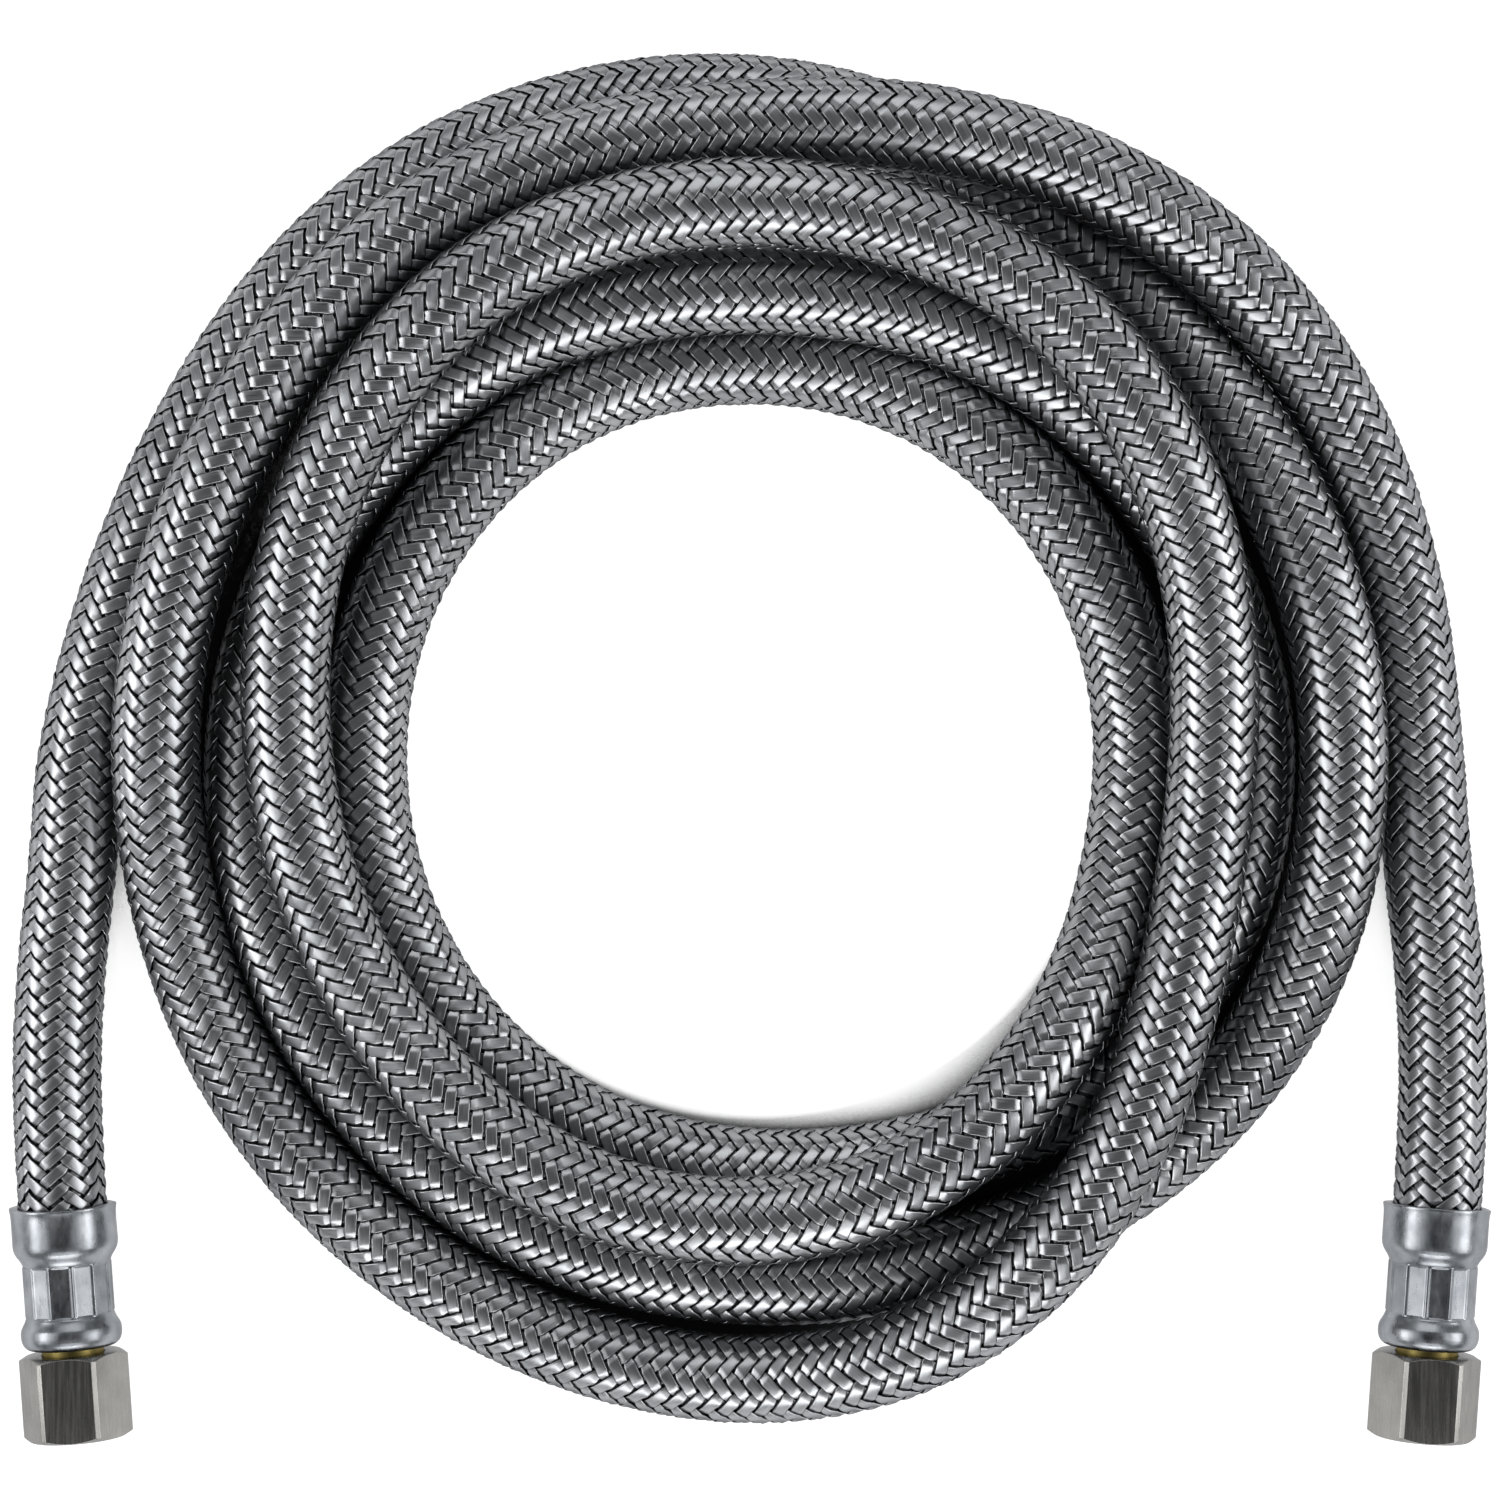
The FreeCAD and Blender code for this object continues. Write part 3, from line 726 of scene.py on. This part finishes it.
def bearing(turn):
    """Two directions at an angle round a nut: out from its axis, and onward round it."""
    return np.array([math.sin(turn), math.cos(turn)]), np.array([math.cos(turn), -math.sin(turn)])


def hexagon():
    """Points round the nut: six flats with bevelled edges between them, one flat facing up."""
    apothem = NUT_FLATS / 2
    half = apothem * math.tan(math.pi / 6) - NUT_EDGE_BEVEL / 2 / math.cos(math.pi / 6)
    points = []
    for k in range(6):
        out, onward = bearing(k * math.pi / 3)
        spots = half * np.sin(np.linspace(-math.pi / 2, math.pi / 2, NUT_FLAT_POINTS))
        points += [out * apothem + onward * spot for spot in spots]
        out, onward = bearing((k + 1) * math.pi / 3)
        start = points[-1]
        finish = out * apothem - onward * half
        points += [start + (finish - start) * t for t in NUT_BEVEL_STEPS]
    return np.array(points)


def rounded(corners, radii, steps=4):
    """A profile of straight runs whose inner corners are rounded."""
    result = [corners[0]]
    for before, corner, after, radius in zip(corners, corners[1:], corners[2:], radii):
        back = before - corner
        ahead = after - corner
        back_len = np.linalg.norm(back)
        ahead_len = np.linalg.norm(ahead)
        turn = math.pi - math.acos(np.clip(np.dot(back, ahead) / back_len / ahead_len, -1, 1))
        cut = min(radius * math.tan(turn / 2), 0.45 * back_len, 0.45 * ahead_len)
        start = corner + back / back_len * cut
        finish = corner + ahead / ahead_len * cut
        for t in np.linspace(0, 1, steps + 1):
            result.append((1 - t) ** 2 * start + 2 * t * (1 - t) * corner + t ** 2 * finish)
    result.append(corners[-1])
    return np.array(result)


def nut_profile(reach):
    """The nut's profile outside (along, distance from the axis) where its side is this far out."""
    front = NUT_LEN
    slope = math.tan(math.radians(NUT_CHAMFER_ANGLE))
    cone = (reach - NUT_FACE_R) * slope
    corners = np.array([
        (NUT_NECK_LEN, NUT_NECK_R), (0.0, NUT_NECK_R), (0.0, NUT_FACE_R), (cone, reach),
        (front - cone, reach), (front, NUT_FACE_R), (front, THREAD_R + THREAD_DEPTH + THREAD_LEAD_R),
        (front - THREAD_LEAD_IN, THREAD_R),
    ])
    return rounded(corners, [NUT_NECK_FILLET] + [NUT_FILLET] * 5)


def nut(end, side):
    """The hex coupling nut, with a cut thread inside its mouth."""
    outline = hexagon()
    angles = np.arctan2(outline[:, 0], outline[:, 1])
    reaches = np.linalg.norm(outline, axis=1)
    outside = np.stack([nut_profile(reach) for reach in reaches], 1)
    rings = math.ceil((NUT_LEN - THREAD_LEAD_IN - NUT_CHAMBER_END) / THREAD_PITCH * THREAD_ROWS)
    stations = np.linspace(NUT_LEN - THREAD_LEAD_IN, NUT_CHAMBER_END, rings)[1:]
    phase = (stations[:, None] / THREAD_PITCH + angles[None, :] / (2 * np.pi)) % 1.0
    groove = np.clip(GROOVE_MIDDLE - GROOVE_SLOPE * np.abs(phase - 0.5), 0, 1) * THREAD_DEPTH
    inner_end = np.clip((stations - NUT_CHAMBER_END) / THREAD_RUN_OUT, 0, 1)
    outer_end = np.clip((NUT_LEN - THREAD_START - stations) / THREAD_RUN_OUT, 0, 1)
    thread_r = THREAD_R + groove * (inner_end * outer_end)[:, None]
    thread = np.stack([np.repeat(stations[:, None], len(angles), 1), thread_r], -1)
    chamber = [
        (NUT_CHAMBER_END, NUT_CHAMBER_R), (NUT_WALL + CHAMBER_BEVEL, NUT_CHAMBER_R),
        (NUT_WALL, NUT_CHAMBER_R - CHAMBER_BEVEL), (NUT_WALL, NUT_NECK_R + NECK_BEVEL),
        (NUT_WALL - NECK_BEVEL, NUT_NECK_R),
    ]
    inside = np.repeat(np.array(chamber)[:, None, :], len(angles), 1)
    profile = np.concatenate([outside, thread, inside])
    along = NUT_BACK + profile[..., 0]
    places = placed(side, along, profile[..., 1] * np.sin(angles), profile[..., 1] * np.cos(angles))
    mesh = grid_mesh("hex_nut_" + end, places[:, ::-1], wrap_rows=True)
    thing = piece("hex_nut_" + end, mesh, nickel, "swivel_" + end)
    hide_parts("nut_" + end)
    return thing


for end, side in (("a", -1), ("b", 1)):
    ferrule(end, side)
    nut(end, side)

NODE_LOOKS = {"insert": brass, "seal": seal, "washer": nylon, "braid_end": braid, "liner_end": liner}
for end in "ab":
    for node, look in NODE_LOOKS.items():
        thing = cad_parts[node + "_" + end]
        thing.data.materials.clear()
        thing.data.materials.append(look)


# ---- floor and light ----
def floor_material():
    """White floor that glows, as on a light table, with painted shade in the grooves between the strands.
    """
    s = Shader("floor_white")
    tone = s.noise(s.place(), 3.0)
    reach = {"Distance": FLOOR_SHADE_REACH * MM}
    in_the_open = s.node("AmbientOcclusion", reach, samples=16).outputs["AO"]
    from_middle = s.node("VectorMath", operation="LENGTH")
    s.join(s.place(), from_middle.inputs[0])
    past_strands = s.node("Math", {1: STRANDS_MIDDLE * MM}, operation="SUBTRACT")
    s.join(from_middle.outputs["Value"], past_strands.inputs[0])
    to_strands = s.node("Math", operation="ABSOLUTE")
    s.join(past_strands.outputs["Value"], to_strands.inputs[0])
    # painted shade: the floor and its glow go dark where ambient occlusion finds it boxed in, more readily
    # under the ring of strands
    lit = s.node("Math", operation="ADD")
    s.join(in_the_open, lit.inputs[0])
    near, far = STRANDS_REACH
    s.join(s.span(to_strands.outputs["Value"], 0.0, 0.4, near * MM, far * MM), lit.inputs[1])
    white = s.mixed(tone, (0.98, 0.98, 0.98), (1.0, 1.0, 1.0))
    pale = s.multiplied(white, s.span(lit.outputs["Value"], 0.0, 1.0, 0.45, 0.65))
    s.join(pale, s.surface.inputs["Emission Color"])
    colour = s.multiplied(pale, s.span(tone, 0.38, 0.42))
    return s.finish(colour, s.span(tone, 0.7, 0.8), Emission_Strength=FLOOR_GLOW)


def lay_floor():
    """The flat floor that the coil lies on."""
    mesh = bpy.data.meshes.new("floor")
    corners = [(-FLOOR, -FLOOR, 0), (FLOOR, -FLOOR, 0), (FLOOR, FLOOR, 0), (-FLOOR, FLOOR, 0)]
    mesh.from_pydata(corners, [], [(0, 1, 2, 3)])
    mesh.materials.append(floor_material())
    floor = bpy.data.objects.new("floor", mesh)
    bpy.context.scene.collection.objects.link(floor)


lay_floor()


def softbox(name, place, size, power):
    """A rectangular lamp aimed at the middle of the coil, which the camera doesn't see itself."""
    light = bpy.data.lights.new(name, "AREA")
    light.shape = "RECTANGLE"
    light.size, light.size_y = size
    light.energy = power
    thing = bpy.data.objects.new(name, light)
    thing.location = place
    thing.rotation_euler = (-Vector(place)).to_track_quat("-Z", "Y").to_euler()
    thing.visible_camera = False
    bpy.context.scene.collection.objects.link(thing)


for name, (place, size, power) in LAMPS.items():
    softbox(name, place, size, power)


def studio_world():
    """A pale horizon that darkens towards the top."""
    world = bpy.data.worlds.new("world")
    world.use_nodes = True
    nodes = world.node_tree.nodes
    links = world.node_tree.links
    parts = nodes.new("ShaderNodeSeparateXYZ")
    links.new(nodes.new("ShaderNodeTexCoord").outputs["Generated"], parts.inputs["Vector"])
    fade = nodes.new("ShaderNodeMapRange")
    fade.interpolation_type = "SMOOTHSTEP"
    fade.inputs["From Min"].default_value = WORLD_FADE[0]
    fade.inputs["From Max"].default_value = WORLD_FADE[1]
    fade.inputs["To Min"].default_value = WORLD_HORIZON
    fade.inputs["To Max"].default_value = WORLD_ZENITH
    links.new(parts.outputs["Z"], fade.inputs["Value"])
    links.new(fade.outputs["Result"], nodes["Background"].inputs["Strength"])
    nodes["Background"].inputs["Color"].default_value = WORLD_COLOUR
    bpy.context.scene.world = world


studio_world()
bpy.context.scene.view_settings.view_transform = "Standard"
